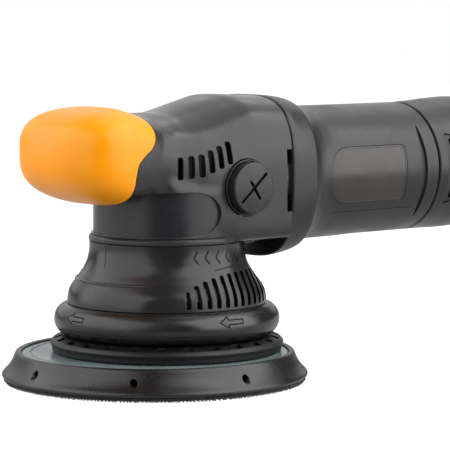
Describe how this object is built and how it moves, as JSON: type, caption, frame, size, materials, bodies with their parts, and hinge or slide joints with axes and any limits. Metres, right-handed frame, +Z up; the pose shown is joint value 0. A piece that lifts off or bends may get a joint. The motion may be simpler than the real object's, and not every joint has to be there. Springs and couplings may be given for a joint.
{
  "type": "dual action polisher",
  "caption": "Random orbit polisher: inline motor, rear paddle handle, front knob, flared shroud with bumper ring and a round hook-faced backing plate.",
  "frame": {"origin": "on the spindle axis, at the hook face of the backing plate, with the plate's axis 7.5 mm towards -X", "axes": "+Z up the spindle, +X along the motor towards the rear handle, +Y to the tool's right as seen from the front knob's far side"},
  "size_m": [0.3815, 0.15, 0.1392],
  "materials": {
    "orange_rubber": "satin moulded elastomer",
    "cover_black": "soft-touch matte",
    "die_cast": "bead-blasted casting",
    "dark_cast": "dark grey satin",
    "screw_steel": "black oxide",
    "plug_black": "fine texture",
    "bearing_steel": "ground and polished",
    "felt": "pressed felt",
    "shroud_black": "satin moulded",
    "ring_rubber": "satin rubber",
    "skirt_rubber": "matte rubber",
    "shaft_steel": "turned",
    "gear_steel": "hardened",
    "cast_weight": "machined casting",
    "disc_teal": "glass-filled sheet",
    "rim_foam": "integral skin foam",
    "hook_black": "hook tape",
    "housing_black": "fine spark-eroded texture",
    "label_grey": "blank panel, semi-gloss",
    "lamination": "stacked sheet",
    "copper_wire": "enamelled copper",
    "inner_plastic": "moulded",
    "fan_white": "moulded",
    "brass": "sheet brass",
    "carbon": "pressed carbon",
    "spring_steel": "drawn wire",
    "grille_black": "moulded",
    "control_black": "satin",
    "board_green": "circuit board",
    "gland_rubber": "matte rubber"
  },
  "bodies": {
    "housing": {"front_knob": "orange_rubber", "head_cover": "cover_black", "gearcase": "die_cast", "bearing_flange": "dark_cast", "flange_screws": "screw_steel", "side_plug_left": "plug_black", "side_plug_right": "plug_black", "spindle_upper_bearing": "bearing_steel", "spindle_lower_bearing": "bearing_steel", "dust_seal": "felt", "shroud": "shroud_black", "shroud_screws": "screw_steel", "bumper_ring": "ring_rubber", "skirt": "skirt_rubber", "motor_housing": "housing_black", "label_panels": "label_grey", "housing_screws": "screw_steel", "stator_core": "lamination", "field_coils": "copper_wire", "fan_baffle": "inner_plastic", "front_motor_bearing": "bearing_steel", "rear_motor_bearing": "bearing_steel", "brush_holders": "brass", "carbon_brushes": "carbon", "brush_springs": "spring_steel", "handle_left": "housing_black", "handle_right": "housing_black", "inlet_grilles": "grille_black", "handle_screws": "screw_steel", "trigger_pin": "screw_steel", "switch_body": "inner_plastic", "trigger_spring": "spring_steel", "speed_board": "board_green", "cord_clamp": "inner_plastic", "cord_gland": "gland_rubber"},
    "drive": {"spindle": "shaft_steel", "bevel_gear": "gear_steel", "gear_circlip": "gear_steel", "eccentric": "cast_weight", "counterweight": "cast_weight", "counterweight_screws": "screw_steel", "plate_bearings": "bearing_steel", "bearing_circlip": "gear_steel"},
    "plate": {"plate_shaft": "shaft_steel", "plate_hub": "shaft_steel", "plate_bolt": "screw_steel", "plate_washer": "shaft_steel", "backing_disc": "disc_teal", "plate_cushion": "rim_foam", "hook_face": "hook_black"},
    "armature": {"armature_shaft": "shaft_steel", "pinion": "gear_steel", "armature_core": "lamination", "armature_windings": "copper_wire", "commutator": "copper_wire", "motor_fan": "fan_white"},
    "trigger": {"trigger": "control_black"},
    "lock_button": {"lock_button": "control_black"},
    "speed_dial": {"speed_dial": "control_black"}
  },
  "joints": [
    {"name": "spindle_spin", "type": "hinge", "parent": "housing", "child": "drive", "pos_m": [0, 0, 0.06], "axis": [0, 0, 1], "continuous": true},
    {"name": "plate_spin", "type": "hinge", "parent": "drive", "child": "plate", "pos_m": [-0.0075, 0, 0.02], "axis": [0, 0, 1], "continuous": true},
    {"name": "armature_spin", "type": "hinge", "parent": "housing", "child": "armature", "pos_m": [0.09, 0, 0.098], "axis": [1, 0, 0], "continuous": true},
    {"name": "trigger_press", "type": "hinge", "parent": "housing", "child": "trigger", "pos_m": [0.2035, 0, 0.077], "axis": [0, -1, 0], "range_deg": [0, 6.5], "stiffness_Nm_per_rad": 0.8, "springref_deg": -17.19, "deforming": ["trigger_spring"]},
    {"name": "lock_press", "type": "slide", "parent": "housing", "child": "lock_button", "axis": [0, 1, 0], "range_m": [0, 0.0025], "stiffness_N_per_m": 400, "springref_m": -0.002},
    {"name": "speed_turn", "type": "hinge", "parent": "housing", "child": "speed_dial", "pos_m": [0.272, 0, 0.1204], "axis": [0, 1, 0], "range_deg": [0, 270]}
  ],
  "couplings": [
    {"joint": "armature_spin", "follows": "spindle_spin", "ratio": 4}
  ]
}
